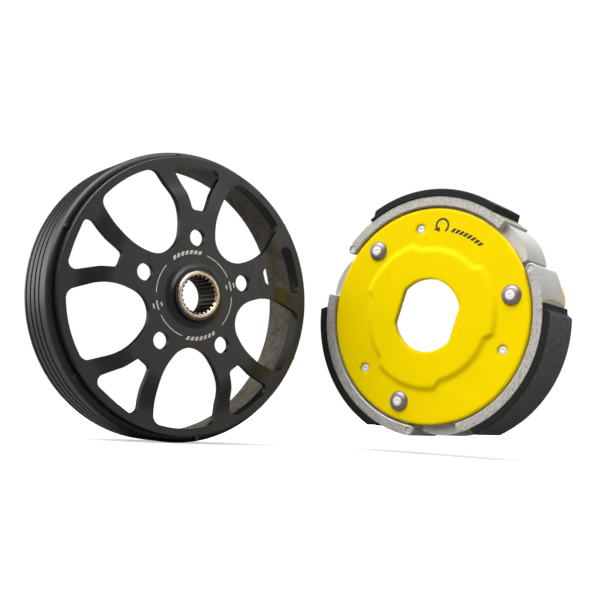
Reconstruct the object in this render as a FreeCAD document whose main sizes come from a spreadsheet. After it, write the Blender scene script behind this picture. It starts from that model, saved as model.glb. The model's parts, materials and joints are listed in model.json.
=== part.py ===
import FreeCAD, Part
import Sketcher
import math
import os

# Scooter clutch bell with its three-shoe centrifugal clutch.
# Model frame: the bell's bore axis is Y with its front facing -Y, +Z is up, and the
# origin is on that axis in the plane of the web's front face. Millimetres.
# Every piece is drawn with its own axis along local Z and its front towards +Z.

V = FreeCAD.Vector
doc = FreeCAD.newDocument("ClutchSet")
sheet = doc.addObject("Spreadsheet::Sheet", "Sizes")

DRIVING = [
    # bell
    ("bell_radius", 66.5), ("bell_wall", 4.0), ("bell_rear", 33.9), ("bell_shoulder_z", 8.0),
    ("shoulder_round", 2.6), ("fin_pitch", 5.0), ("fin_depth", 1.1), ("fin_width", 1.5),
    ("fin_count", 4), ("web_radius", 63.5), ("web_drop", 3.3), ("web_thick", 3.2),
    ("web_seat", 12.0), ("hub_flat_radius", 40.0), ("band_radius", 56.5), ("window_outer", 60.1),
    ("boss_tip_radius", 11.6), ("boss_height", 3.6), ("sleeve_bevel", 1.3),
    ("boss_rear_radius", 14.5), ("boss_rear", 11.5), ("tool_hole_radius", 3.9),
    ("tool_hole_circle", 26.4), ("bell_spin", 91.0), ("spoke_count", 5),
    ("stake_turn", 98.5), ("stake_count", 6),
    # splined sleeve
    ("sleeve_radius", 10.7), ("sleeve_front", 4.7), ("sleeve_rear", 12.8), ("spline_minor", 7.9),
    ("spline_major", 8.8), ("spline_teeth", 24), ("pilot_length", 3.0),
    # clutch, seen along its own axis
    ("clutch_x", 104.7), ("clutch_y", -39.9), ("clutch_z", -0.5), ("clutch_turn", -70.8),
    ("pin_turn", 11.8), ("damper_turn", 34.4), ("plate_radius", 52.0), ("plate_thick", 2.5),
    ("emboss_height", 1.2), ("emboss_radius", 30.8), ("lobe_radius", 33.8), ("keyway_radius", 17.6),
    ("keyway_flat", 15.5), ("keyway_turn", 163.0), ("pin_circle", 43.5), ("pin_radius", 4.0),
    ("pin_head_radius", 4.95), ("pin_head_height", 1.9), ("pin_crown_radius", 2.7), ("pin_rear", 33.2),
    ("damper_circle", 42.4), ("damper_pin_radius", 2.4), ("damper_pin_length", 13.0),
    ("rubber_radius", 4.9), ("shoe_front", 0.5), ("shoe_rear", 26.0), ("rim_inner", 53.2),
    ("rim_outer", 58.0), ("lining_outer", 61.5), ("lining_front", 1.0), ("lining_rear", 26.5),
    ("lining_start", -76.6), ("lining_end", -11.4), ("tongue_end", -6.8),
    ("tongue_outer", 59.2), ("rim_start", -83.3), ("tail_end", 12.8),
    ("toe_outer", 56.9), ("toe_end", -104.0),
    ("shoe_web_front", 3.3), ("shoe_web_rear", 15.0), ("shoe_inner", 34.5), ("boss_radius", 6.2),
    ("running_gap", 0.05), ("damper_pocket", 6.5), ("side_plate_front", 27.2),
    ("side_plate_rear", 29.7), ("side_plate_inner", 33.6), ("side_plate_outer", 49.5),
    ("side_lobe_radius", 14.0), ("clip_thick", 1.0), ("clip_radius", 6.8), ("clip_groove", 3.1),
    ("spring_circle", 36.5), ("spring_radius", 2.9), ("wire_radius", 0.45), ("spring_depth", 19.0),
    ("spring_turns", 18), ("toe_post", -97.0), ("heel_post", -21.0), ("post_radius", 1.3),
]
for row, (alias, value) in enumerate(DRIVING, 1):
    sheet.set("A%d" % row, alias)
    sheet.set("B%d" % row, str(value))
    sheet.setAlias("B%d" % row, alias)
doc.recompute()


def size(alias):
    return float(sheet.get(alias))


def polar(radius, degrees):
    angle = math.radians(degrees)
    return V(radius * math.cos(angle), radius * math.sin(angle), 0)


def origin_feature(body, role):
    return [f for f in body.Origin.OriginFeatures if f.Role == role][0]


PIN_SPOT = "placement(vector(Sizes.pin_circle; 0; 0); rotation(vector(0; 0; 1); 0))"
DAMPER_SPOT = "placement(vector(Sizes.damper_circle; 0; 0); rotation(vector(0; 0; 1); 0))"
BELL_AT = "placement(vector(0; 0; 0); rotation(vector(1; 0; 0); 90))"


def clutch_at(turn):
    return ("placement(vector(Sizes.clutch_x; Sizes.clutch_y; Sizes.clutch_z);"
            " rotation(vector(0; 0; 1); Sizes.clutch_turn) * rotation(vector(1; 0; 0); 90)"
            " * rotation(vector(0; 0; 1); %s))" % turn)


def new_body(label, where):
    body = doc.addObject("PartDesign::Body", label)
    body.setExpression("Placement", where)
    return body


def new_sketch(body, name, plane="XY_Plane", height="0"):
    sketch = body.newObject("Sketcher::SketchObject", name)
    sketch.AttachmentSupport = [(origin_feature(body, plane), "")]
    sketch.MapMode = "FlatFace"
    sketch.setExpression("AttachmentOffset.Base.z", height)
    return sketch


def line(a, b):
    return Part.LineSegment(a, b)


def arc(centre, radius, start, end):
    """Arc run counter-clockwise from start to end, in degrees."""
    circle = Part.Circle(centre, V(0, 0, 1), radius)
    return Part.ArcOfCircle(circle, math.radians(start), math.radians(end))


def add_circle(sketch, centre, alias):
    index = sketch.addGeometry(Part.Circle(centre, V(0, 0, 1), size(alias)))
    rule = sketch.addConstraint(Sketcher.Constraint("Radius", index, size(alias)))
    sketch.setExpression("Constraints[%d]" % rule, "Sizes." + alias)
    return index


def add_open_run(sketch, points):
    for a, b in zip(points, points[1:]):
        sketch.addGeometry(line(V(a[0], a[1], 0), V(b[0], b[1], 0)))


def polyline(sketch, points):
    """Closed outline of straight sides."""
    add_open_run(sketch, points + points[:1])


def pad(body, name, sketch, length, up=False):
    """Pad from the sketch towards local -Z, or +Z when up."""
    feature = body.newObject("PartDesign::Pad", name)
    feature.Profile = sketch
    feature.Reversed = not up
    feature.setExpression("Length", length)
    sketch.Visibility = False
    return feature


def pocket(body, name, sketch, length):
    """Pocket from the sketch towards local -Z."""
    feature = body.newObject("PartDesign::Pocket", name)
    feature.Profile = sketch
    feature.setExpression("Length", length)
    sketch.Visibility = False
    return feature


def revolve(body, name, sketch, kind="PartDesign::Revolution"):
    feature = body.newObject(kind, name)
    feature.Profile = sketch
    feature.ReferenceAxis = (origin_feature(body, "Z_Axis"), [""])
    feature.Angle = 360
    sketch.Visibility = False
    return feature


def ring_pattern(body, name, feature, count):
    pattern = body.newObject("PartDesign::PolarPattern", name)
    pattern.Originals = [feature]
    pattern.Axis = (origin_feature(body, "Z_Axis"), [""])
    pattern.Angle = 360
    pattern.setExpression("Occurrences", count)
    body.Tip = pattern
    return pattern


def dress(body, kind, name, radius, wanted):
    """Fillet or chamfer those edges of the tip that wanted(edge) picks."""
    doc.recompute()
    base = body.Tip
    names = ["Edge%d" % i for i, e in enumerate(base.Shape.Edges, 1) if wanted(e)]
    if not names:
        raise RuntimeError("%s: no edge found on %s" % (name, body.Label))
    feature = body.newObject(kind, name)
    feature.Base = (base, names)
    feature.setExpression("Radius" if kind.endswith("Fillet") else "Size", radius)
    body.Tip = feature
    doc.recompute()
    return feature


def is_ring(edge, radius, height):
    curve = edge.Curve
    return (isinstance(curve, Part.Circle) and abs(curve.Radius - radius) < 0.02
            and abs(edge.Vertexes[0].Z - height) < 0.02)


def corner(vertex, before, after, radius):
    """Tangent points and centre of a round of the given radius at a sharp corner."""
    a = (before - vertex).normalize()
    b = (after - vertex).normalize()
    half = a.getAngle(b) / 2
    reach = radius / math.tan(half)
    centre = vertex + (a + b).normalize() * (radius / math.sin(half))
    return vertex + a * reach, vertex + b * reach, centre


def rounded_loop(sketch, corners):
    """Closed outline of straight sides with a round of its own radius at each corner."""
    count = len(corners)
    rounds = []
    for i, (point, radius) in enumerate(corners):
        rounds.append(corner(point, corners[i - 1][0], corners[(i + 1) % count][0], radius))
    for i, (start, end, centre) in enumerate(rounds):
        mid = centre + (corners[i][0] - centre).normalize() * corners[i][1]
        sketch.addGeometry(Part.Arc(start, mid, end))
        sketch.addGeometry(line(end, rounds[(i + 1) % count][0]))


# ---------------------------------------------------------------- bell rim
rear = -size("bell_rear")
outer = size("bell_radius")
inner = outer - size("bell_wall")
seat = size("web_radius")
shoulder = -size("bell_shoulder_z")

bell_rim = new_body("bell_rim", BELL_AT)
profile = new_sketch(bell_rim, "RimProfile", "XZ_Plane")
round_r = size("shoulder_round")
add_open_run(profile, [
    (outer - round_r, shoulder), (seat, shoulder), (seat, -size("web_seat")),
    (inner, -size("web_seat")), (inner, rear), (outer, rear), (outer, shoulder - round_r)])
profile.addGeometry(arc(V(outer - round_r, shoulder - round_r, 0), round_r, 0, 90))
revolve(bell_rim, "RimRing", profile)
fin = new_sketch(bell_rim, "FinProfile", "XZ_Plane")
fin_z = rear + 2.4
groove_r = size("fin_width") / 2
root = outer - size("fin_depth") + groove_r
add_open_run(fin, [
    (root, fin_z + groove_r), (outer + 1, fin_z + groove_r), (outer + 1, fin_z - groove_r),
    (root, fin_z - groove_r)])
fin.addGeometry(arc(V(root, fin_z, 0), groove_r, 90, 270))
fin_cut = revolve(bell_rim, "FinGroove", fin, "PartDesign::Groove")
fins = bell_rim.newObject("PartDesign::LinearPattern", "FinGrooves")
fins.Originals = [fin_cut]
fins.Direction = (origin_feature(bell_rim, "Z_Axis"), [""])
fins.setExpression("Length", "Sizes.fin_pitch * (Sizes.fin_count - 1)")
fins.setExpression("Occurrences", "Sizes.fin_count")
bell_rim.Tip = fins
dress(bell_rim, "PartDesign::Chamfer", "MouthEdge", "0.6", lambda e: is_ring(e, inner, rear))

# ---------------------------------------------------------------- bell web
bell_web = new_body("bell_web", BELL_AT)
bell_web.setExpression("Placement", BELL_AT[:-1] + " * rotation(vector(0; 0; 1); Sizes.bell_spin))")
profile = new_sketch(bell_web, "WebProfile", "XZ_Plane")
flat = size("hub_flat_radius")
band = size("band_radius")
drop = -size("web_drop")
thick = size("web_thick")
bore = size("sleeve_radius")
seat_z = -size("web_seat")


def ease(start, end):
    """Two tangent arcs that carry a level surface from start down to end."""
    run = end[0] - start[0]
    fall = start[1] - end[1]
    radius = (run * run + fall * fall) / (4 * fall)
    angle = math.degrees(2 * math.atan2(fall, run))
    first = arc(V(start[0], start[1] - radius, 0), radius, 90 - angle, 90)
    second = arc(V(end[0], end[1] + radius, 0), radius, 270 - angle, 270)
    return first, second


upper = ease((flat, 0), (band, drop))
lower = ease((flat, -thick), (band, drop - thick))
boss_front = size("boss_height")
boss_foot = size("boss_tip_radius") + boss_front
boss_back = -size("boss_rear")
boss_r = size("boss_rear_radius")
lip = size("window_outer") + 0.6
for piece in (
        line(V(bore, boss_front, 0), V(size("boss_tip_radius"), boss_front, 0)),
        arc(V(boss_foot, boss_front, 0), boss_front, 180, 270),
        line(V(boss_foot, 0, 0), V(flat, 0, 0)),
        upper[0], upper[1],
        line(V(band, drop, 0), V(seat, drop, 0)),
        line(V(seat, drop, 0), V(seat, seat_z, 0)),
        line(V(seat, seat_z, 0), V(lip, seat_z, 0)),
        line(V(lip, seat_z, 0), V(lip, drop - thick, 0)),
        line(V(lip, drop - thick, 0), V(band, drop - thick, 0)),
        lower[0], lower[1],
        line(V(flat, -thick, 0), V(boss_r, -thick, 0)),
        line(V(boss_r, -thick, 0), V(boss_r, boss_back, 0)),
        line(V(boss_r, boss_back, 0), V(bore, boss_back, 0)),
        line(V(bore, boss_back, 0), V(bore, boss_front, 0))):
    profile.addGeometry(piece)
revolve(bell_web, "WebDisc", profile)


def window_cut(name, turn, tip, flank, crown):
    """Window repeated round the web: a tip towards the hub, corners up each side, a bowed outer edge.

    tip is (x, round radius), or None where the window starts with a level edge across its first
    two corners. Each corner of flank is (x, y, round radius) and the other side mirrors it.
    crown is how far the outer corner stands past window_outer, and the round that bows it.
    """
    sketch = new_sketch(bell_web, name + "Outline", height="5")
    upper_side = [(V(x, y, 0), r) for x, y, r in flank]
    outer_mid = (V(size("window_outer") + crown[0], 0, 0), crown[1])
    lower_side = [(V(p.x, -p.y, 0), r) for p, r in upper_side][::-1]
    loop = upper_side + [outer_mid] + lower_side
    if tip:
        loop = [(V(tip[0], 0, 0), tip[1])] + loop
    turned = [(FreeCAD.Rotation(V(0, 0, 1), turn).multVec(p), r) for p, r in loop]
    rounded_loop(sketch, turned)
    cut = pocket(bell_web, name, sketch, "25")
    return ring_pattern(bell_web, name + "s", cut, "Sizes.spoke_count")


half_step = 180 / size("spoke_count")
window_cut("LargeWindow", half_step, (16.25, 11.5), [(37.2, 16.1, 27), (57.7, 15.6, 4.5)], (0.9, 52))
window_cut("SmallWindow", 0, None,
           [(38.8, 3.3, 2.2), (46.5, 6.05, 12), (59.2, 13.85, 3.2)], (-0.3, 60))
holes = new_sketch(bell_web, "ToolHoleSketch", height="5")
add_circle(holes, V(size("tool_hole_circle"), 0, 0), "tool_hole_radius")
hole_cut = pocket(bell_web, "ToolHole", holes, "20")
ring_pattern(bell_web, "ToolHoles", hole_cut, "Sizes.spoke_count")
dress(bell_web, "PartDesign::Chamfer", "BandEdge", "0.4", lambda e: is_ring(e, seat, drop))

# Stakes: short round-ended tabs of the rim that lock the web in its seat.
stakes = new_sketch(bell_rim, "StakeSketch", height="-Sizes.bell_shoulder_z - 0.4")
tab = 1.1
turn = size("stake_turn")
across = polar(tab, turn + 90)
root = polar(seat, turn)
end = polar(seat + 0.9, turn)
stakes.addGeometry(line(root - across, end - across))
stakes.addGeometry(arc(end, tab, turn - 90, turn + 90))
stakes.addGeometry(line(end + across, root + across))
stakes.addGeometry(line(root + across, root - across))
tab_pad = pad(bell_rim, "Stake", stakes, "2.0", up=True)
ring_pattern(bell_rim, "Stakes", tab_pad, "Sizes.stake_count")

# ---------------------------------------------------------------- splined sleeve
splined_hub = new_body("splined_hub", BELL_AT)
profile = new_sketch(splined_hub, "SleeveProfile", "XZ_Plane")
sleeve = size("sleeve_radius")
front = size("sleeve_front")
back = -size("sleeve_rear")
minor = size("spline_minor")
pilot = size("spline_major") + 0.2
pilot_z = back + size("pilot_length")
bevel = size("sleeve_bevel")
polyline(profile, [
    (minor, front - bevel), (minor + bevel, front), (sleeve - 0.6, front), (sleeve, front - 0.6),
    (sleeve, back + 0.5), (sleeve - 0.5, back), (pilot, back), (pilot, pilot_z),
    (minor, pilot_z)])
revolve(splined_hub, "Sleeve", profile)
slot = new_sketch(splined_hub, "SplineSpace", height="Sizes.sleeve_front + 1")
major = size("spline_major")
gap = 1.05 * math.pi * major / size("spline_teeth")
polyline(slot, [
    (minor - 1.5, -gap / 2), (major, -gap / 2), (major, gap / 2), (minor - 1.5, gap / 2)])
space = pocket(splined_hub, "SplineCut", slot, "Sizes.sleeve_front + Sizes.sleeve_rear + 2")
ring_pattern(splined_hub, "Splines", space, "Sizes.spline_teeth")

# ---------------------------------------------------------------- drive plate
drive_plate = new_body("drive_plate", clutch_at("Sizes.pin_turn"))
disc = new_sketch(drive_plate, "PlateSketch")
add_circle(disc, V(0, 0, 0), "plate_radius")
pad(drive_plate, "PlateDisc", disc, "Sizes.plate_thick")


def lobed_outline(sketch, grow):
    """Round outline that steps out to a wider arc opposite each pivot pin."""
    base = size("emboss_radius") + grow
    lobe = size("lobe_radius") + grow
    for k in range(3):
        middle = 120 * k
        sketch.addGeometry(arc(V(0, 0, 0), lobe, middle - 27, middle + 27))
        sketch.addGeometry(line(polar(lobe, middle + 27), polar(base, middle + 32)))
        sketch.addGeometry(arc(V(0, 0, 0), base, middle + 32, middle + 88))
        sketch.addGeometry(line(polar(base, middle + 88), polar(lobe, middle + 93)))


foot = new_sketch(drive_plate, "EmbossFoot")
lobed_outline(foot, 2.8)
steps = []
for part_height, grow in ((0.2, 1.9), (0.8, 0.7), (1.0, -0.2)):
    step = new_sketch(drive_plate, "EmbossStep", height="Sizes.emboss_height * %g" % part_height)
    lobed_outline(step, grow)
    steps.append(step)
emboss = drive_plate.newObject("PartDesign::AdditiveLoft", "Emboss")
emboss.Profile = foot
emboss.Sections = steps
emboss.Ruled = True
under = new_sketch(drive_plate, "EmbossUnder", height="-Sizes.plate_thick")
lobed_outline(under, 0)
hollow = drive_plate.newObject("PartDesign::Pocket", "EmbossHollow")
hollow.Profile = under
hollow.Reversed = True
hollow.setExpression("Length", "Sizes.emboss_height")
keyway = new_sketch(drive_plate, "DoubleD", height="Sizes.emboss_height")
turn = size("keyway_turn") - size("pin_turn")
key_r = size("keyway_radius")
swing = math.degrees(math.acos(size("keyway_flat") / key_r))
for side in (0, 180):
    a = turn + side + swing
    b = turn + side + 180 - swing
    keyway.addGeometry(arc(V(0, 0, 0), key_r, a, b))
    keyway.addGeometry(line(polar(key_r, b), polar(key_r, b + 2 * swing)))
pocket(drive_plate, "DoubleDCut", keyway, "6")
pins = new_sketch(drive_plate, "PinHoles", height="1")
add_circle(pins, V(size("pin_circle"), 0, 0), "pin_radius")
add_circle(pins, polar(size("damper_circle"), -size("damper_turn")), "damper_pin_radius")
pin_cut = pocket(drive_plate, "PinHoleCut", pins, "6")
ring_pattern(drive_plate, "PinHolePattern", pin_cut, "3")
dress(drive_plate, "PartDesign::Fillet", "PlateEdge", "0.6",
      lambda e: is_ring(e, size("plate_radius"), 0))

# ---------------------------------------------------------------- side plate
side_plate = new_body("side_plate", clutch_at("Sizes.pin_turn"))
ring = new_sketch(side_plate, "RingSketch", height="-Sizes.side_plate_front")
add_circle(ring, V(0, 0, 0), "side_plate_outer")
pad(side_plate, "Ring", ring, "Sizes.side_plate_rear - Sizes.side_plate_front")
lobe = new_sketch(side_plate, "LobeSketch", height="-Sizes.side_plate_front")
add_circle(lobe, V(size("pin_circle"), 0, 0), "side_lobe_radius")
lobe_pad = pad(side_plate, "Lobe", lobe, "Sizes.side_plate_rear - Sizes.side_plate_front")
ring_pattern(side_plate, "Lobes", lobe_pad, "3")
dress(side_plate, "PartDesign::Fillet", "LobeRoots", "6",
      lambda e: e.Vertexes[0].Point.distanceToPoint(e.Vertexes[-1].Point) > 1
      and abs(e.Vertexes[0].X - e.Vertexes[-1].X) < 0.01
      and abs(e.Vertexes[0].Y - e.Vertexes[-1].Y) < 0.01
      and abs(math.hypot(e.Vertexes[0].X, e.Vertexes[0].Y) - size("side_plate_outer")) < 0.05)
eye = new_sketch(side_plate, "CentreHole", height="-Sizes.side_plate_front + 1")
add_circle(eye, V(0, 0, 0), "side_plate_inner")
pocket(side_plate, "CentreCut", eye, "6")
eyes = new_sketch(side_plate, "PinHoleSketch", height="-Sizes.side_plate_front + 1")
add_circle(eyes, V(size("pin_circle"), 0, 0), "pin_radius")
eyes.setExpression("Constraints[0]", "Sizes.pin_radius + Sizes.running_gap")
eye_cut = pocket(side_plate, "PinHole", eyes, "6")
ring_pattern(side_plate, "PinHoles", eye_cut, "3")


# ---------------------------------------------------------------- pieces repeated at each pivot
def pin_frame(k, extra=""):
    """Frame of the k-th shoe: local +X runs from the clutch's centre to its pivot pin."""
    return clutch_at("Sizes.pin_turn + %d%s" % (120 * k, extra))


def damper_frame(k):
    return pin_frame(k, " - Sizes.damper_turn") + " * " + DAMPER_SPOT


def pivot_pin(k):
    """Riveted pin: low crowned head with a centre dimple, shank, and a clip groove near its end."""
    body = new_body("pivot_pin_%d" % (k + 1), pin_frame(k) + " * " + PIN_SPOT)
    sketch = new_sketch(body, "PinProfile", "XZ_Plane")
    head = size("pin_head_radius")
    top = size("pin_head_height")
    shank = size("pin_radius")
    end = -size("pin_rear")
    groove = size("clip_groove")
    high = -size("side_plate_rear") - 0.1
    low = high - size("clip_thick") - 0.1
    crown = size("pin_crown_radius")
    add_open_run(sketch, [
        (crown, top - 0.15), (0.8, top), (0, top - 0.5), (0, end), (shank - 0.5, end),
        (shank, end + 0.5), (shank, low), (groove, low), (groove, high), (shank, high),
        (shank, 0), (head, 0)])
    sketch.addGeometry(Part.Arc(V(head, 0, 0), V(0.85 * head, 0.6 * top, 0), V(crown, top - 0.15, 0)))
    revolve(body, "Pin", sketch)
    return body


def damper_pin(k):
    """Short headless pin, pressed into the drive plate."""
    body = new_body("damper_pin_%d" % (k + 1), damper_frame(k))
    sketch = new_sketch(body, "PinProfile", "XZ_Plane")
    radius = size("damper_pin_radius")
    end = -size("damper_pin_length")
    top = -0.25
    polyline(sketch, [
        (0, end), (radius - 0.4, end), (radius, end + 0.4), (radius, top - 0.6),
        (radius - 0.7, top), (0.7, top), (0, top - 0.4)])
    revolve(body, "Pin", sketch)
    return body


def damper_rubber(k):
    """Waisted rubber sleeve on the damper pin."""
    body = new_body("damper_rubber_%d" % (k + 1), damper_frame(k))
    sketch = new_sketch(body, "RubberProfile", "XZ_Plane")
    high = -size("shoe_web_front")
    low = -size("damper_pin_length") + 0.6
    radius = size("rubber_radius")
    hole = size("damper_pin_radius")
    waist = radius - 0.6
    polyline(sketch, [
        (hole, low), (radius - 0.5, low), (radius, low + 0.5), (radius, low + 2.4),
        (waist, low + 3.2), (waist, high - 3.2), (radius, high - 2.4), (radius, high - 0.5),
        (radius - 0.5, high), (hole, high)])
    revolve(body, "Sleeve", sketch)
    return body


def e_clip(k):
    """Split ring in the pin's groove, its mouth towards the clutch's rim."""
    body = new_body("e_clip_%d" % (k + 1), pin_frame(k) + " * " + PIN_SPOT)
    sketch = new_sketch(body, "ClipSketch", height="-Sizes.side_plate_rear - 0.15")
    wide = size("clip_radius")
    bite = size("clip_groove")
    mouth = 42
    sketch.addGeometry(arc(V(0, 0, 0), wide, mouth, 360 - mouth))
    sketch.addGeometry(arc(V(0, 0, 0), bite, mouth, 360 - mouth))
    for sign in (1, -1):
        sketch.addGeometry(line(polar(bite, sign * mouth), polar(wide, sign * mouth)))
    pad(body, "Clip", sketch, "Sizes.clip_thick")
    bays = new_sketch(body, "ClipBays", height="-Sizes.side_plate_rear + 1")
    for side in (112, 180, 248):
        bays.addGeometry(Part.Circle(polar(bite + 0.9, side), V(0, 0, 1), 1.0))
    pocket(body, "Bays", bays, "4")
    return body


def rim_loop(sketch, inner_r, outer_r, start, end):
    """Band between two circles, its counter-clockwise end fully round."""
    middle = (inner_r + outer_r) / 2
    tail_r = (outer_r - inner_r) / 2
    stop = end - math.degrees(tail_r / middle)
    sketch.addGeometry(line(polar(inner_r, start), polar(outer_r, start)))
    sketch.addGeometry(arc(V(0, 0, 0), outer_r, start, stop))
    sketch.addGeometry(arc(polar(middle, stop), tail_r, stop, stop + 180))
    sketch.addGeometry(arc(V(0, 0, 0), inner_r, start, stop))


def shoe(k):
    """Cast shoe: outer rim with a round tail, inner web, toe wall, pivot boss and spring posts."""
    body = new_body("shoe_%d" % (k + 1), pin_frame(k))
    start = size("rim_start")
    tail = size("tail_end")
    rim = new_sketch(body, "RimSketch", height="Sizes.shoe_front")
    rim_loop(rim, size("rim_inner"), size("rim_outer"), start, tail)
    pad(body, "Rim", rim, "Sizes.shoe_rear + Sizes.shoe_front")

    web = new_sketch(body, "WebSketch", height="-Sizes.shoe_web_front")
    far = size("rim_inner") + 1
    near = size("shoe_inner")
    toe = size("toe_end") + 2
    heel = tail - 5
    web.addGeometry(arc(V(0, 0, 0), near, toe, heel))
    web.addGeometry(line(polar(near, heel), polar(far, heel)))
    web.addGeometry(arc(V(0, 0, 0), far, start, heel))
    web.addGeometry(line(polar(far, start), polar(51, toe)))
    web.addGeometry(line(polar(51, toe), polar(near, toe)))
    pad(body, "Web", web, "Sizes.shoe_web_rear - Sizes.shoe_web_front")

    wall = new_sketch(body, "ToeSketch", height="-Sizes.shoe_web_front - 0.4")
    end = size("toe_end")
    skin = size("toe_outer")
    lap = start + 4
    wall.addGeometry(Part.Arc(polar(skin, start), polar(skin, start - 12), polar(skin - 2.2, end)))
    wall.addGeometry(line(polar(skin - 2.2, end), polar(48.5, end)))
    wall.addGeometry(Part.Arc(polar(48.5, end), polar(50.5, start - 10), polar(51, lap)))
    wall.addGeometry(line(polar(51, lap), polar(skin, lap)))
    wall.addGeometry(line(polar(skin, lap), polar(skin, start)))
    pad(body, "ToeWall", wall, "Sizes.shoe_rear - Sizes.shoe_web_front - 0.4")

    boss = new_sketch(body, "BossSketch", height="-Sizes.shoe_web_front")
    add_circle(boss, V(size("pin_circle"), 0, 0), "boss_radius")
    pad(body, "PivotBoss", boss, "Sizes.shoe_rear - Sizes.shoe_web_front")
    gusset = new_sketch(body, "GussetSketch", height="-Sizes.shoe_web_front")
    polyline(gusset, [(size("pin_circle") + 2, -4), (54, -6), (54, 6), (size("pin_circle") + 2, 4)])
    pad(body, "Gusset", gusset, "Sizes.shoe_rear - Sizes.shoe_web_front - 3")

    posts = new_sketch(body, "PostSketch", height="-Sizes.shoe_web_rear")
    add_circle(posts, polar(size("spring_circle"), size("toe_post")), "post_radius")
    add_circle(posts, polar(size("spring_circle"), size("heel_post")), "post_radius")
    pad(body, "SpringPosts", posts, "Sizes.spring_depth - Sizes.shoe_web_rear + 2.2")

    pivot = new_sketch(body, "PivotSketch", height="1")
    add_circle(pivot, V(size("pin_circle"), 0, 0), "pin_radius")
    pivot.setExpression("Constraints[0]", "Sizes.pin_radius + Sizes.running_gap")
    pocket(body, "PivotHole", pivot, "Sizes.shoe_rear + 5")
    bay = new_sketch(body, "DamperBay", height="1")
    add_circle(bay, polar(size("damper_circle"), -size("damper_turn")), "damper_pocket")
    pocket(body, "DamperHole", bay, "Sizes.shoe_rear")
    mark = new_sketch(body, "EjectorMark", height="Sizes.shoe_front")
    middle = (size("rim_inner") + size("rim_outer")) / 2
    mark.addGeometry(Part.Circle(polar(middle, tail - 2.5), V(0, 0, 1), 1.5))
    pocket(body, "Mark", mark, "0.3")
    dress(body, "PartDesign::Chamfer", "RimEdge", "0.3",
          lambda e: is_ring(e, size("rim_outer"), size("shoe_front")))
    return body


def lining(k):
    """Friction lining: bevelled ends, and a thin tongue that runs on past the heel end."""
    body = new_body("lining_%d" % (k + 1), pin_frame(k))
    sketch = new_sketch(body, "LiningSketch", height="Sizes.lining_front")
    seat_r = size("rim_outer")
    face_r = size("lining_outer")
    tongue_r = size("tongue_outer")
    start = size("lining_start")
    heel = size("lining_end")
    tip = size("tongue_end")
    lean = 1.2
    sketch.addGeometry(line(polar(seat_r, start), polar(face_r, start + lean)))
    sketch.addGeometry(arc(V(0, 0, 0), face_r, start + lean, heel))
    sketch.addGeometry(line(polar(face_r, heel), polar(tongue_r, heel + 2)))
    sketch.addGeometry(arc(V(0, 0, 0), tongue_r, heel + 2, tip))
    sketch.addGeometry(line(polar(tongue_r, tip), polar(seat_r, tip)))
    sketch.addGeometry(arc(V(0, 0, 0), seat_r, start, tip))
    pad(body, "Lining", sketch, "Sizes.lining_front + Sizes.lining_rear")
    dress(body, "PartDesign::Chamfer", "LiningEdges", "0.5", lambda e: (
        isinstance(e.Curve, Part.Circle) and abs(e.Curve.Radius - face_r) < 0.01))
    return body


def spring(k):
    """Return spring between one shoe's toe post and the next shoe's heel post, a ring at each end."""
    span = (size("toe_post") - (size("heel_post") - 120)) / 2
    middle = size("toe_post") - span
    reach = size("spring_circle") * math.cos(math.radians(span))
    half_span = size("spring_circle") * math.sin(math.radians(span))
    body = new_body("spring_%d" % (k + 1), pin_frame(k, " + %g" % middle) + (
        " * placement(vector(%g; 0; -Sizes.spring_depth); rotation(vector(1; 0; 0); -90))" % reach))
    wire = size("wire_radius")
    ring_r = size("post_radius") + wire + 0.25
    coil_r = size("spring_radius") - wire
    coil_end = half_span - ring_r
    section = new_sketch(body, "WireSection", "XZ_Plane")
    section.addGeometry(Part.Circle(V(coil_r, -coil_end, 0), V(0, 0, 1), wire))
    coil = body.newObject("PartDesign::AdditiveHelix", "Coil")
    coil.Profile = section
    coil.ReferenceAxis = (origin_feature(body, "Z_Axis"), [""])
    coil.Mode = 0
    coil.Height = 2 * coil_end
    coil.setExpression("Pitch", "%g / Sizes.spring_turns" % (2 * coil_end))
    section.Visibility = False
    for sign, name in ((-1, "First"), (1, "Last")):
        leg = body.newObject("PartDesign::AdditiveCylinder", name + "Leg")
        leg.AttachmentSupport = [(origin_feature(body, "YZ_Plane"), "")]
        leg.MapMode = "FlatFace"
        leg.AttachmentOffset = FreeCAD.Placement(V(0, sign * coil_end, 0), FreeCAD.Rotation())
        leg.Height = coil_r
        leg.setExpression("Radius", "Sizes.wire_radius * 0.9")
        ring = body.newObject("PartDesign::AdditiveTorus", name + "Ring")
        ring.AttachmentSupport = [(origin_feature(body, "XZ_Plane"), "")]
        ring.MapMode = "FlatFace"
        ring.AttachmentOffset = FreeCAD.Placement(V(0, sign * half_span, 0), FreeCAD.Rotation())
        ring.Radius1 = ring_r
        ring.setExpression("Radius2", "Sizes.wire_radius")
    return body


for k in range(3):
    pivot_pin(k)
    damper_pin(k)
    damper_rubber(k)
    e_clip(k)
    shoe(k)
    lining(k)
    spring(k)

# ---------------------------------------------------------------- check and write
doc.recompute()
os.makedirs("parts", exist_ok=True)
for item in doc.Objects:
    if "Invalid" in item.State or "Error" in item.State:
        raise RuntimeError("%s: %s" % (item.Label, item.State))
for item in doc.Objects:
    if item.isDerivedFrom("PartDesign::Body"):
        shape = item.Shape
        if shape.isNull() or not shape.isValid() or len(shape.Solids) != 1:
            raise RuntimeError("%s: not one valid solid" % item.Label)
        shape.exportStep("parts/%s.step" % item.Label)
        print("%-18s %10.1f mm3" % (item.Label, shape.Volume))
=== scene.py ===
import json
import math

import bmesh
import bpy
from mathutils import Matrix, Vector


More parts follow.
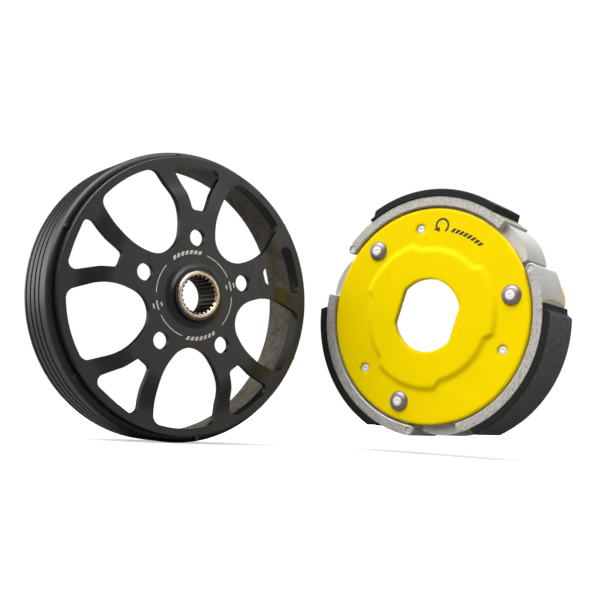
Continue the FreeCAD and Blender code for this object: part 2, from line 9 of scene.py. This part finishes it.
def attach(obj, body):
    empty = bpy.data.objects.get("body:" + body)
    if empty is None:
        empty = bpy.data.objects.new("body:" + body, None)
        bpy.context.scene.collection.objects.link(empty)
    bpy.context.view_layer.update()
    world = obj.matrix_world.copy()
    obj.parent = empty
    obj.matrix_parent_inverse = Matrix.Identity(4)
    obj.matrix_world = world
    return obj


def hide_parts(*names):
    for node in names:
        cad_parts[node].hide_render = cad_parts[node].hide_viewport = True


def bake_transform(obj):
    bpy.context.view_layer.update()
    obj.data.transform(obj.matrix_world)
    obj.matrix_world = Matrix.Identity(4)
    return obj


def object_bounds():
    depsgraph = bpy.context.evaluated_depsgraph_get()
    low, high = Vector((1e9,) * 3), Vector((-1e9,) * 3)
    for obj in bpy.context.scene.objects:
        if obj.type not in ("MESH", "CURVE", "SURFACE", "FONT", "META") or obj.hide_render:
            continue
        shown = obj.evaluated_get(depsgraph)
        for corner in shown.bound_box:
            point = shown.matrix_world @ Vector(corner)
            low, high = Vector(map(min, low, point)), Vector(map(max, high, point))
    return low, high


# Scooter clutch bell beside its three-shoe centrifugal clutch.
# The frame is the model's: the bell's bore axis is Y with its front facing -Y, and +Z is up.

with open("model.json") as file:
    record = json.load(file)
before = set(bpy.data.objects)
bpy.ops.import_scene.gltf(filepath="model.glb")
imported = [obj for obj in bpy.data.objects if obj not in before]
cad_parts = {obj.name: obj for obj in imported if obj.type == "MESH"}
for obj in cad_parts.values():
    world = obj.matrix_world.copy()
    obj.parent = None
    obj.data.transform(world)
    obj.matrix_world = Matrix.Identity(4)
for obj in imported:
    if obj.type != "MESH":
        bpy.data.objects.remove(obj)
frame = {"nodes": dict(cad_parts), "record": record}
start_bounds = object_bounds()

MM = 0.001
UP = Vector((0.0, 0.0, 1.0))
joints = {joint["name"]: joint for joint in frame["record"]["behaviour"]["joints"]}

# The clutch's own frame: centre on its drive plate, front along its axis, right across it.
CLUTCH_CENTRE = Vector(joints["clutch_spin"]["pos_m"])
CLUTCH_FRONT = Vector(joints["clutch_spin"]["axis"]).normalized()
CLUTCH_RIGHT = UP.cross(CLUTCH_FRONT)
SHOE_STEP = math.radians(120)


def clutch_point(radius_mm, turn, depth_mm):
    """Point of the clutch: radius and turn about its axis, depth towards its front."""
    across = CLUTCH_RIGHT * math.cos(turn) + UP * math.sin(turn)
    return CLUTCH_CENTRE + (across * radius_mm + CLUTCH_FRONT * depth_mm) * MM


def pivot_turn(k):
    """Turn of the k-th shoe's pivot pin about the clutch's axis."""
    arm = Vector(joints["shoe_%d_swing" % (k + 1)]["pos_m"]) - CLUTCH_CENTRE
    return math.atan2(arm.dot(UP), arm.dot(CLUTCH_RIGHT))


# ------------------------------------------------------------------ materials
class Shader:
    """One node material, built up by small steps."""

    def __init__(self, name, colour, rough, metal=0.0, specular=0.5):
        self.mat = bpy.data.materials.new(name)
        self.mat.use_nodes = True
        self.tree = self.mat.node_tree
        self.bsdf = self.tree.nodes["Principled BSDF"]
        self.bsdf.inputs["Base Color"].default_value = (*colour, 1)
        self.bsdf.inputs["Roughness"].default_value = rough
        self.bsdf.inputs["Metallic"].default_value = metal
        self.bsdf.inputs["Specular IOR Level"].default_value = specular
        self.coords = self.node("ShaderNodeTexCoord").outputs["Object"]
        self.normal = None

    def node(self, kind, **settings):
        made = self.tree.nodes.new(kind)
        for key, value in settings.items():
            setattr(made, key, value)
        return made

    def feed(self, socket, thing):
        """Plug a socket in, or set it to a number or colour."""
        if hasattr(thing, "is_linked"):
            self.tree.links.new(thing, socket)
        elif hasattr(thing, "__len__") and len(thing) == 3 and socket.type == "RGBA":
            socket.default_value = (*thing, 1)
        else:
            socket.default_value = thing

    def math(self, operation, a, b=0.0, c=0.0):
        made = self.node("ShaderNodeMath", operation=operation)
        for socket, thing in zip(made.inputs, (a, b, c)):
            self.feed(socket, thing)
        return made.outputs[0]

    def noise(self, size_mm, detail=2.0, rough=0.5, stretch=(1, 1, 1)):
        """Cloudy noise, 0 to 1, with blobs about size_mm across."""
        scaled = self.node("ShaderNodeVectorMath", operation="MULTIPLY")
        self.feed(scaled.inputs[0], self.coords)
        scaled.inputs[1].default_value = stretch
        made = self.node("ShaderNodeTexNoise")
        made.inputs["Scale"].default_value = 1 / (size_mm * MM)
        made.inputs["Detail"].default_value = detail
        made.inputs["Roughness"].default_value = rough
        self.feed(made.inputs["Vector"], scaled.outputs[0])
        return made.outputs["Fac"]

    def flecks(self, size_mm):
        """Distance from the nearest of scattered points, for chips and specks."""
        made = self.node("ShaderNodeTexVoronoi")
        made.inputs["Scale"].default_value = 1 / (size_mm * MM)
        self.feed(made.inputs["Vector"], self.coords)
        return made.outputs["Distance"]

    def ramp(self, value, low, high, out_low=0.0, out_high=1.0):
        made = self.node("ShaderNodeMapRange")
        for socket, thing in zip(made.inputs, (value, low, high, out_low, out_high)):
            self.feed(socket, thing)
        return made.outputs[0]

    def mix(self, fac, a, b):
        made = self.node("ShaderNodeMix", data_type="RGBA")
        self.feed(made.inputs["Factor"], fac)
        self.feed(made.inputs[6], a)
        self.feed(made.inputs[7], b)
        return made.outputs[2]

    def both(self, a, b):
        return self.math("MULTIPLY", a, b)

    def polar(self, centre, right):
        """Radius, height along the axis and turn about it, in the piece's own frame."""
        offset = self.node("ShaderNodeVectorMath", operation="SUBTRACT")
        self.feed(offset.inputs[0], self.coords)
        offset.inputs[1].default_value = centre

        def along(direction):
            made = self.node("ShaderNodeVectorMath", operation="DOT_PRODUCT")
            self.feed(made.inputs[0], offset.outputs[0])
            made.inputs[1].default_value = direction
            return made.outputs["Value"]

        x = along(right)
        y = along(UP)
        radius = self.math("SQRT", self.math("ADD", self.both(x, x), self.both(y, y)))
        return radius, along(Vector(right).cross(UP)), self.math("ARCTAN2", y, x)

    def set(self, **sockets):
        for name, thing in sockets.items():
            self.feed(self.bsdf.inputs[name.replace("_", " ")], thing)

    def soft_edges(self, radius_mm):
        made = self.node("ShaderNodeBevel", samples=4)
        made.inputs["Radius"].default_value = radius_mm * MM
        self.keep_normal(made.outputs["Normal"])

    def bump(self, height, depth_mm, strength=1.0):
        made = self.node("ShaderNodeBump")
        made.inputs["Distance"].default_value = depth_mm * MM
        made.inputs["Strength"].default_value = strength
        self.feed(made.inputs["Height"], height)
        if self.normal is not None:
            self.feed(made.inputs["Normal"], self.normal)
        self.keep_normal(made.outputs["Normal"])

    def keep_normal(self, socket):
        self.normal = socket
        self.feed(self.bsdf.inputs["Normal"], socket)


def scaled(colour, factor):
    return tuple(min(1.0, c * factor) for c in colour)


BELL_RIGHT = (1, 0, 0)
BELL_CENTRE = (0, 0, 0)
COAT_BLACK = (0.0085, 0.0080, 0.0078)
RAW_STEEL_DARK = (0.052, 0.043, 0.032)
RAW_STEEL_LIGHT = (0.130, 0.116, 0.094)
DRUM_WALL_MM = 62.7
DRUM_FLOOR_MM = -12.3
TOOL_LINE_MM = 0.5


def coat_colour(s):
    """Fine salt-and-pepper grain of the blasted and coated surface."""
    grain = s.noise(0.8, 4.0, 0.7)
    s.bump(grain, 0.05, 0.5)
    return s.mix(s.ramp(grain, 0.35, 0.68), scaled(COAT_BLACK, 0.7), scaled(COAT_BLACK, 1.7))


def satin_black_web():
    """Satin black hard coat on the spoked web, matt in the walls of its cut-outs, with painted shade
    darkening those walls.
    """
    s = Shader("satin_black_web", COAT_BLACK, 0.38)
    s.soft_edges(0.15)
    facing = s.node("ShaderNodeVectorMath", operation="DOT_PRODUCT")
    s.feed(facing.inputs[0], s.node("ShaderNodeTexCoord").outputs["Normal"])
    facing.inputs[1].default_value = (0, 1, 0)
    face = s.ramp(s.math("ABSOLUTE", facing.outputs["Value"]), 0.15, 0.6)
    coat = coat_colour(s)
    # Painted shade: where face is low, on the cut-out walls, the coat colour gives way to a darker copy of
    # it; these walls are also less glossy.
    s.set(Base_Color=s.mix(face, scaled(COAT_BLACK, 0.4), coat),
          Specular_IOR_Level=s.ramp(face, 0.0, 1.0, 0.12, 0.5),
          Roughness=s.ramp(s.noise(6.0), 0.3, 0.7, 0.34, 0.42))
    return s.mat


def satin_black_rim():
    """Satin black outside; bare brownish machined steel on the friction wall inside."""
    s = Shader("satin_black_rim", COAT_BLACK, 0.38)
    s.soft_edges(0.3)
    black = coat_colour(s)
    radius, height, _ = s.polar(BELL_CENTRE, BELL_RIGHT)
    bare = s.both(s.math("LESS_THAN", radius, DRUM_WALL_MM * MM),
                  s.math("LESS_THAN", height, DRUM_FLOOR_MM * MM))
    blot = s.noise(7.0, 4.0, 0.6)
    fine = s.noise(0.8, 3.0, 0.6, (1, 0.25, 1))
    steel = s.mix(s.ramp(blot, 0.3, 0.7), RAW_STEEL_DARK, RAW_STEEL_LIGHT)
    steel = s.mix(s.ramp(fine, 0.45, 0.75, 0.0, 0.4), steel, scaled(RAW_STEEL_LIGHT, 2.0))
    lines = s.math("SINE", s.math("MULTIPLY", height, 2 * math.pi / (TOOL_LINE_MM * MM)))
    s.bump(s.both(lines, bare), 0.010, 0.4)
    s.set(Base_Color=s.mix(bare, black, steel), Roughness=s.ramp(bare, 0.0, 1.0, 0.38, 0.5),
          Specular_IOR_Level=s.ramp(bare, 0.0, 1.0, 0.5, 0.06))
    return s.mat


BORE_RADIUS_MM = 9.1
BORE_FRONT_MM = 3.6
TOOTH_TIP_MM = (8.0, 8.4)
FACING_LINE_MM = 0.35
BRONZE = (0.54, 0.43, 0.33)
BORE_BROWN = (0.022, 0.015, 0.009)


def sleeve_steel():
    """Turned steel with a warm tint on its end faces, dark inside the splined bore, where the spline tips
    carry a painted highlight and the roots painted shade.
    """
    s = Shader("warm_turned_steel", BRONZE, 0.34, 1.0)
    s.soft_edges(0.12)
    radius, height, _ = s.polar(BELL_CENTRE, BELL_RIGHT)
    blot = s.noise(1.2, 3.0, 0.6)
    face = s.mix(s.ramp(blot, 0.35, 0.65), scaled(BRONZE, 0.72), scaled(BRONZE, 1.15))
    bore = s.both(s.math("LESS_THAN", radius, BORE_RADIUS_MM * MM),
                  s.math("LESS_THAN", height, BORE_FRONT_MM * MM))
    # Painted highlight and shade in the bore: spline tips inside the first radius are lighter, roots past
    # the second darker.
    tip = s.ramp(radius, TOOTH_TIP_MM[0] * MM, TOOTH_TIP_MM[1] * MM, 1.0, 0.0)
    dark = s.mix(tip, scaled(BORE_BROWN, 0.4), scaled(BORE_BROWN, 1.8))
    rings = s.math("SINE", s.math("MULTIPLY", radius, 2 * math.pi / (FACING_LINE_MM * MM)))
    s.bump(rings, 0.012, 0.5)
    s.set(Base_Color=s.mix(bore, face, dark), Roughness=s.ramp(bore, 0.0, 1.0, 0.34, 0.5))
    return s.mat


YELLOW = (0.92, 0.675, 0.0)


def gloss_yellow():
    """Smooth yellow enamel on pressed steel, very slightly wavy."""
    s = Shader("yellow_enamel", YELLOW, 0.36, 0.0, 0.03)
    s.soft_edges(2.2)
    s.bump(s.noise(3.0), 0.02, 0.5)
    tone = s.noise(14.0, 2.0)
    s.set(Base_Color=s.mix(s.ramp(tone, 0.3, 0.7), scaled(YELLOW, 0.96), YELLOW))
    return s.mat


CAST_GREY = (0.56, 0.55, 0.53)
GRAIN_LIGHT = (0.60, 0.57, 0.53)
GRAIN_DARK = (0.23, 0.21, 0.19)
FRONT_FACE_MM = 0.3

# Adhesive film on a shoe's outer face: colour, radius, turns from the pin before it and the
# slope of its far edge across the shoe's depth.
FILM = (0.30, 0.29, 0.17)
FILM_RADIUS_MM = 57.7
FILM_START = math.radians(30)
FILM_END = math.radians(116.4)
FILM_BOW = math.radians(2.3)
HALF_DEPTH_MM = 14


def cast_aluminium():
    """Cast aluminium: fine skin on the sides, coarse speckled fronts, adhesive left by the linings."""
    s = Shader("cast_aluminium", CAST_GREY, 0.5, 0.35)
    s.soft_edges(0.5)
    radius, height, turn = s.polar(CLUTCH_CENTRE, CLUTCH_RIGHT)
    speck = s.noise(0.9, 5.0, 0.75)
    blot = s.noise(5.0, 3.0, 0.5)
    front = s.math("GREATER_THAN", height, FRONT_FACE_MM * MM)
    skin = s.mix(s.ramp(blot, 0.3, 0.7), scaled(CAST_GREY, 0.93), scaled(CAST_GREY, 1.07))
    rough_face = s.mix(s.ramp(speck, 0.42, 0.66), GRAIN_LIGHT, GRAIN_DARK)
    colour = s.mix(s.both(front, s.ramp(speck, 0.2, 0.6, 0.75, 1.0)), skin, rough_face)

    # adhesive shows on the rim's outside, past each end of its lining
    share = s.math("FLOORED_MODULO", s.math("SUBTRACT", turn, pivot_turn(0)), SHOE_STEP)
    depth = s.math("ADD", s.math("DIVIDE", height, HALF_DEPTH_MM * MM), 1.0)
    bow = s.math("MULTIPLY", s.both(depth, depth), FILM_BOW)
    limit = s.math("SUBTRACT", FILM_END, bow)
    film = s.both(s.math("GREATER_THAN", radius, FILM_RADIUS_MM * MM), s.both(
        s.math("GREATER_THAN", share, FILM_START), s.math("LESS_THAN", share, limit)))
    film_colour = s.mix(s.ramp(speck, 0.35, 0.65), FILM, scaled(FILM, 1.5))
    s.bump(speck, 0.06, 0.6)
    s.set(Base_Color=s.mix(film, colour, film_colour), Roughness=s.ramp(blot, 0.3, 0.7, 0.42, 0.56))
    return s.mat


LINING_BLACK = (0.006, 0.006, 0.006)
LINING_GREY = (0.120, 0.118, 0.115)
CHIP_GREY = (0.30, 0.29, 0.27)
WORKING_FACE_MM = 61.2


def friction_lining():
    """Moulded friction material: smooth black sides, ground working face with grey chips."""
    s = Shader("friction_lining", LINING_BLACK, 0.7, 0.0, 0.25)
    s.soft_edges(0.3)
    radius, _, _ = s.polar(CLUTCH_CENTRE, CLUTCH_RIGHT)
    face = s.math("GREATER_THAN", radius, WORKING_FACE_MM * MM)
    grit = s.noise(1.1, 5.0, 0.8)
    chips = s.ramp(s.flecks(1.8), 0.0, 0.26, 1.0, 0.0)
    ground = s.mix(s.ramp(grit, 0.36, 0.66), scaled(LINING_BLACK, 3.0), LINING_GREY)
    ground = s.mix(s.math("MULTIPLY", chips, 0.8), ground, CHIP_GREY)
    moulded = s.mix(s.ramp(grit, 0.45, 0.75), LINING_BLACK, scaled(LINING_BLACK, 2.6))
    s.bump(grit, 0.10, 0.6)
    s.set(Base_Color=s.mix(face, moulded, ground), Roughness=s.ramp(grit, 0.3, 0.7, 0.55, 0.8))
    return s.mat


RIVET_CIRCLE_MM = 43.5
CROWN_MM = 1.9
CROWN_FADE_MM = 0.7
CROWN_PAINTED_HIGHLIGHT = (0.93, 0.88, 0.86)
FLANK_DARK = (0.30, 0.25, 0.245)


def rivet_steel():
    """Riveted heads: a painted highlight on the crown, over a darker purplish flank."""
    s = Shader("rivet_steel", FLANK_DARK, 0.42, 0.75)
    s.soft_edges(0.2)
    radius, _, turn = s.polar(CLUTCH_CENTRE, CLUTCH_RIGHT)
    share = s.math("SUBTRACT", turn, pivot_turn(0) - SHOE_STEP / 2)
    share = s.math("SUBTRACT", s.math("FLOORED_MODULO", share, SHOE_STEP), SHOE_STEP / 2)
    x = s.math("SUBTRACT", s.both(radius, s.math("COSINE", share)), RIVET_CIRCLE_MM * MM)
    y = s.both(radius, s.math("SINE", share))
    off = s.math("SQRT", s.math("ADD", s.both(x, x), s.both(y, y)))
    # Painted highlight: a near-white, less metallic disc on the middle of each head.
    crown = s.ramp(off, CROWN_MM * MM, (CROWN_MM + CROWN_FADE_MM) * MM, 1.0, 0.0)
    grain = s.noise(0.6, 3.0, 0.6)
    s.bump(grain, 0.02, 0.5)
    flank = s.mix(s.ramp(grain, 0.3, 0.7), scaled(FLANK_DARK, 0.8), scaled(FLANK_DARK, 1.25))
    s.set(Base_Color=s.mix(crown, flank, CROWN_PAINTED_HIGHLIGHT), Metallic=s.ramp(crown, 0.0, 1.0, 0.75, 0.2))
    return s.mat


def bare_metal(name, colour, rough, grain_mm=0.6, depth_mm=0.02, metal=1.0):
    """Plain metal piece with a fine uneven grain."""
    s = Shader(name, colour, rough, metal)
    s.soft_edges(0.2)
    grain = s.noise(grain_mm, 3.0, 0.6)
    s.bump(grain, depth_mm, 0.5)
    s.set(Base_Color=s.mix(s.ramp(grain, 0.3, 0.7), scaled(colour, 0.82), scaled(colour, 1.12)))
    return s.mat


def flat_ink(name, colour):
    """Thin print or etch, slightly broken up."""
    s = Shader(name, colour, 0.55)
    grain = s.noise(0.3)
    s.set(Base_Color=s.mix(s.ramp(grain, 0.3, 0.7), scaled(colour, 0.85), colour))
    return s.mat


yellow = gloss_yellow()
FINISH = {
    "bell_rim": satin_black_rim(),
    "bell_web": satin_black_web(),
    "splined_hub": sleeve_steel(),
    "drive_plate": yellow,
    "side_plate": yellow,
    "pivot_pin": rivet_steel(),
    "damper_pin": bare_metal("small_pin_steel", (0.86, 0.84, 0.80), 0.35, metal=0.2),
    "damper_rubber": bare_metal("black_rubber", (0.02, 0.02, 0.021), 0.7, metal=0.0),
    "e_clip": bare_metal("clip_steel", (0.08, 0.08, 0.085), 0.4),
    "shoe": cast_aluminium(),
    "lining": friction_lining(),
    "spring": bare_metal("spring_wire", (0.42, 0.42, 0.43), 0.3, 0.4, 0.01),
}
for name, obj in frame["nodes"].items():
    kind = name if name in FINISH else name.rsplit("_", 1)[0]
    obj.data.materials.clear()
    obj.data.materials.append(FINISH[kind])


def new_piece(name, build, material):
    """New piece from a finished bmesh, in the model's frame."""
    mesh = bpy.data.meshes.new(name)
    bmesh.ops.recalc_face_normals(build, faces=build.faces)
    build.to_mesh(mesh)
    build.free()
    mesh.materials.append(material)
    obj = bpy.data.objects.new(name, mesh)
    bpy.context.scene.collection.objects.link(obj)
    return obj


# ------------------------------------------------------------------ return springs
# Sizes in mm; the posts' turns are measured from their own shoe's pivot pin.
SPRING_CIRCLE = 36.5
SPRING_DEPTH = -19.0
TOE_POST = math.radians(-97)
HEEL_POST = math.radians(-21)
WIRE = 0.4
COIL_RADIUS = 1.75
COILS = 18
HEEL_EYE = 2.6
TOE_EYE = 2.0
EYE_GAP = 0.4
WIRE_SIDES = 8
COIL_STEPS = 20


def spring_line(first, last):
    """Centre line of the wire: an eye round each post and a close coil between them."""
    axis = (last - first).normalized()
    out = axis.cross(CLUTCH_FRONT).normalized()
    start = first + axis * (HEEL_EYE + EYE_GAP) * MM
    length = (last - first).length - (HEEL_EYE + TOE_EYE + 2 * EYE_GAP) * MM
    points = []
    for i in range(COIL_STEPS + 1):
        a = -math.pi + 2 * math.pi * i / COIL_STEPS
        points.append(first + (axis * math.cos(a) + out * math.sin(a)) * HEEL_EYE * MM
                      + CLUTCH_FRONT * (i / COIL_STEPS - 1) * 2 * WIRE * MM)
    points = points[:-COIL_STEPS // 2]
    total = COILS * COIL_STEPS
    for i in range(total + 1):
        a = math.pi / 2 + 2 * math.pi * i / COIL_STEPS
        points.append(start + axis * (length * i / total)
                      + (CLUTCH_FRONT * math.sin(a) + out * math.cos(a)) * COIL_RADIUS * MM)
    for i in range(COIL_STEPS // 2, COIL_STEPS + 1):
        a = -math.pi + 2 * math.pi * i / COIL_STEPS
        points.append(last + (axis * math.cos(a) + out * math.sin(a)) * TOE_EYE * MM)
    return points


def wire_piece(name, points, radius, material):
    """Round wire swept along points, its ends closed."""
    build = bmesh.new()
    side = (points[1] - points[0]).orthogonal().normalized()
    rings = []
    for i, point in enumerate(points):
        before = points[max(i - 1, 0)]
        after = points[min(i + 1, len(points) - 1)]
        tangent = (after - before).normalized()
        side = (side - tangent * side.dot(tangent)).normalized()
        cross = tangent.cross(side)
        ring = []
        for j in range(WIRE_SIDES):
            a = 2 * math.pi * j / WIRE_SIDES
            ring.append(build.verts.new(point + (side * math.cos(a) + cross * math.sin(a)) * radius))
        rings.append(ring)
    for ring, following in zip(rings, rings[1:]):
        for j in range(WIRE_SIDES):
            k = (j + 1) % WIRE_SIDES
            build.faces.new((ring[j], ring[k], following[k], following[j]))
    build.faces.new(rings[0])
    build.faces.new(rings[-1])
    obj = new_piece(name, build, material)
    obj.data.polygons.foreach_set("use_smooth", [True] * len(obj.data.polygons))
    return obj


for k in range(3):
    heel = clutch_point(SPRING_CIRCLE, pivot_turn(k) - SHOE_STEP + HEEL_POST, SPRING_DEPTH)
    toe = clutch_point(SPRING_CIRCLE, pivot_turn(k) + TOE_POST, SPRING_DEPTH)
    coil = wire_piece("return_spring_%d" % (k + 1), spring_line(heel, toe), WIRE * MM, FINISH["spring"])
    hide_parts("spring_%d" % (k + 1))
    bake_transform(coil)


# ------------------------------------------------------------------ marks
MARK_LIFT = 0.03
BAND_STEP = 3

# Bell: radii in mm, turns in degrees.
ARC_RADII = (19.1, 19.5)
ARC_SPANS = ((142, 182), (32, 75), (-38, 4), (-147, -105))
TICK_RADII = (18.7, 20.4)
TICK_STARTS = (84, -98)
TICKS = 7
TICK_PITCH = 6.6
TICK_WIDTH = 4.4
TICK_LEAN = 1.2
BAR_MIDDLES = (199, 19)
BARS = ((17.2, 3.0), (19.3, 6.5), (21.2, 3.0))
BAR_HALF_HEIGHT = 0.35

# Plate: a turning arrow and a row of slanted dashes.
SIGN_RADIUS = 43.7
SIGN_TURN = math.radians(82)
SIGN_SIZE = 3.7
SIGN_WIDTH = 1.0
SIGN_SPAN = (-60, 200)
HEAD_REACH = ((-2.3, 0.0), (1.3, 0.0), (-0.4, 0.8))
DASHES = 8
DASH_START = 50.5
DASH_PITCH = 3.1
DASH_WIDTH = 2.1
DASH_RADII = (41.2, 43.4)
DASH_LEAN = 0.9


def on_bell(radius, turn):
    return Vector((radius * math.cos(turn), -MARK_LIFT, radius * math.sin(turn))) * MM


def on_plate(radius, turn):
    return clutch_point(radius, turn, MARK_LIFT)


def add_band(build, place, inner, outer, start, end, lean=0.0):
    """Strip of ring between two angles in degrees; lean slants its short ends."""
    steps = max(1, round(abs(end - start) / BAND_STEP))
    tilt = math.radians(lean)
    rail = []
    for i in range(steps + 1):
        turn = math.radians(start + (end - start) * i / steps)
        rail.append((build.verts.new(place(inner, turn + tilt)), build.verts.new(place(outer, turn - tilt))))
    for (a, b), (c, d) in zip(rail, rail[1:]):
        build.faces.new((a, b, d, c))


def etched_ring():
    """Four thin arcs round the hub, with plain tick marks in the gaps between them."""
    build = bmesh.new()
    for start, end in ARC_SPANS:
        add_band(build, on_bell, *ARC_RADII, start, end)
    for start in TICK_STARTS:
        for i in range(TICKS):
            a = start + TICK_PITCH * i
            add_band(build, on_bell, *TICK_RADII, a, a + TICK_WIDTH, TICK_LEAN)
    for middle in BAR_MIDDLES:
        for reach, half_width in BARS:
            add_band(build, on_bell, reach - BAR_HALF_HEIGHT, reach + BAR_HALF_HEIGHT,
                     middle - half_width, middle + half_width)
    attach(new_piece("etched_ring", build, flat_ink("laser_etch", (0.74, 0.70, 0.64))), "bell")


def plate_print():
    """Plain turning-direction sign and a row of slanted ticks."""
    build = bmesh.new()
    centre = Vector((SIGN_RADIUS * math.cos(SIGN_TURN), SIGN_RADIUS * math.sin(SIGN_TURN)))

    def on_sign(radius, turn):
        spot = centre + Vector((radius * math.cos(turn), radius * math.sin(turn)))
        return on_plate(spot.length, math.atan2(spot.y, spot.x))

    add_band(build, on_sign, SIGN_SIZE - SIGN_WIDTH, SIGN_SIZE, *SIGN_SPAN)
    tip = math.radians(SIGN_SPAN[1])
    head = [on_sign(SIGN_SIZE + reach, tip + ahead) for reach, ahead in HEAD_REACH]
    build.faces.new([build.verts.new(p) for p in head])
    for i in range(DASHES):
        a = DASH_START + DASH_PITCH * i
        add_band(build, on_plate, *DASH_RADII, a, a + DASH_WIDTH, DASH_LEAN)
    ink = flat_ink("black_print", (0.035, 0.026, 0.004))
    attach(new_piece("plate_print", build, ink), "clutch_carrier")


etched_ring()
plate_print()

# ------------------------------------------------------------------ studio
FLOOR_REACH = 6.0
FLOOR_SEEN = 0.62
FLOOR_GLOW = 0.52
FLOOR_BOUNCE = 0.20


def floor_material():
    """Pale matt floor: light to the camera, while it sends little light back up at the object."""
    mat = bpy.data.materials.new("pale_floor")
    mat.use_nodes = True
    tree = mat.node_tree
    tree.nodes.clear()
    seen = tree.nodes.new("ShaderNodeBsdfDiffuse")
    seen.inputs["Color"].default_value = (FLOOR_SEEN, FLOOR_SEEN, FLOOR_SEEN, 1)
    glow = tree.nodes.new("ShaderNodeEmission")
    glow.inputs["Strength"].default_value = FLOOR_GLOW
    both = tree.nodes.new("ShaderNodeAddShader")
    bounce = tree.nodes.new("ShaderNodeBsdfDiffuse")
    bounce.inputs["Color"].default_value = (FLOOR_BOUNCE, FLOOR_BOUNCE, FLOOR_BOUNCE, 1)
    path = tree.nodes.new("ShaderNodeLightPath")
    mix = tree.nodes.new("ShaderNodeMixShader")
    out = tree.nodes.new("ShaderNodeOutputMaterial")
    tree.links.new(seen.outputs[0], both.inputs[0])
    tree.links.new(glow.outputs[0], both.inputs[1])
    tree.links.new(path.outputs["Is Camera Ray"], mix.inputs[0])
    tree.links.new(bounce.outputs[0], mix.inputs[1])
    tree.links.new(both.outputs[0], mix.inputs[2])
    tree.links.new(mix.outputs[0], out.inputs[0])
    return mat


FLOOR_GAP = 0.1 * MM


def add_floor():
    level = start_bounds[0].z - FLOOR_GAP
    mesh = bpy.data.meshes.new("floor")
    corners = [(x, y, level) for x, y in ((-1, -1), (1, -1), (1, 1), (-1, 1))]
    mesh.from_pydata([(x * FLOOR_REACH, y * FLOOR_REACH, z) for x, y, z in corners], [], [(0, 1, 2, 3)])
    mesh.materials.append(floor_material())
    floor = bpy.data.objects.new("floor", mesh)
    bpy.context.scene.collection.objects.link(floor)


# Soft boxes painted on the sky: azimuth (0 straight ahead of the bell, 90 towards +X), elevation,
# half angles of the fully lit and the fading part in degrees, strength, tint.
BASE_LIGHT = 0.045
SOFT_BOXES = [
    (-142, 6, 16, 34, 2.2, (1.0, 0.99, 0.97)),
    (-92, 50, 18, 36, 5.1, (1.0, 1.0, 1.0)),
    (-30, 80, 16, 42, 2.7, (0.95, 0.98, 1.0)),
    (39, 14, 12, 21, 2.1, (1.0, 0.98, 0.96)),
    (122, 20, 16, 38, 1.4, (1.0, 1.0, 1.0)),
    (35, 50, 12, 26, 1.5, (1.0, 1.0, 1.0)),
]
BACKDROP = 1.02


def heading(azimuth, elevation):
    a = math.radians(azimuth)
    e = math.radians(elevation)
    return Vector((math.sin(a) * math.cos(e), -math.cos(a) * math.cos(e), math.sin(e)))


def add_sky():
    """White backdrop for the camera; a dark room with soft boxes for everything else."""
    world = bpy.data.worlds.new("studio")
    bpy.context.scene.world = world
    world.use_nodes = True
    tree = world.node_tree
    tree.nodes.clear()
    way = tree.nodes.new("ShaderNodeTexCoord").outputs["Generated"]
    total = None
    for azimuth, elevation, full, faded, strength, tint in SOFT_BOXES:
        dot = tree.nodes.new("ShaderNodeVectorMath")
        dot.operation = "DOT_PRODUCT"
        dot.inputs[1].default_value = heading(azimuth, elevation)
        edge = tree.nodes.new("ShaderNodeMapRange")
        edge.interpolation_type = "SMOOTHSTEP"
        edge.inputs["From Min"].default_value = math.cos(math.radians(faded))
        edge.inputs["From Max"].default_value = math.cos(math.radians(full))
        box = tree.nodes.new("ShaderNodeVectorMath")
        box.operation = "MULTIPLY_ADD"
        box.inputs[1].default_value = [strength * c for c in tint]
        box.inputs[2].default_value = (BASE_LIGHT,) * 3
        tree.links.new(way, dot.inputs[0])
        tree.links.new(dot.outputs["Value"], edge.inputs["Value"])
        tree.links.new(edge.outputs["Result"], box.inputs[0])
        if total is not None:
            tree.links.new(total, box.inputs[2])
        total = box.outputs[0]
    lit = tree.nodes.new("ShaderNodeBackground")
    seen = tree.nodes.new("ShaderNodeBackground")
    seen.inputs["Color"].default_value = (1, 1, 1, 1)
    seen.inputs["Strength"].default_value = BACKDROP
    path = tree.nodes.new("ShaderNodeLightPath")
    mix = tree.nodes.new("ShaderNodeMixShader")
    out = tree.nodes.new("ShaderNodeOutputWorld")
    tree.links.new(total, lit.inputs["Color"])
    tree.links.new(path.outputs["Is Camera Ray"], mix.inputs[0])
    tree.links.new(lit.outputs[0], mix.inputs[1])
    tree.links.new(seen.outputs[0], mix.inputs[2])
    tree.links.new(mix.outputs[0], out.inputs[0])


# Camera: the point it looks at, the direction it looks in, its distance and its lens.
TARGET = Vector((41.3, -23.8, 1.0)) * MM
AZIMUTH = math.radians(34.94)
ELEVATION = math.radians(6.19)
ROLL = math.radians(3.17)
DISTANCE = 455 * MM
LENS = 60.0


def add_camera():
    """Camera that looks a little upwards and to the right at the pair."""
    data = bpy.data.cameras.new("camera")
    data.lens = LENS
    data.sensor_width = 36.0
    data.clip_start = 0.01
    camera = bpy.data.objects.new("camera", data)
    bpy.context.scene.collection.objects.link(camera)
    look = Vector((math.sin(AZIMUTH) * math.cos(ELEVATION), math.cos(AZIMUTH) * math.cos(ELEVATION),
                   math.sin(ELEVATION)))
    level = look.cross(UP).normalized()
    above = level.cross(look)
    right = level * math.cos(ROLL) + above * math.sin(ROLL)
    top = above * math.cos(ROLL) - level * math.sin(ROLL)
    place = Matrix((right, top, -look)).transposed().to_4x4()
    place.translation = TARGET - look * DISTANCE
    camera.matrix_world = place
    bpy.context.scene.camera = camera


add_floor()
add_sky()
add_camera()
bpy.context.scene.view_settings.view_transform = "Standard"
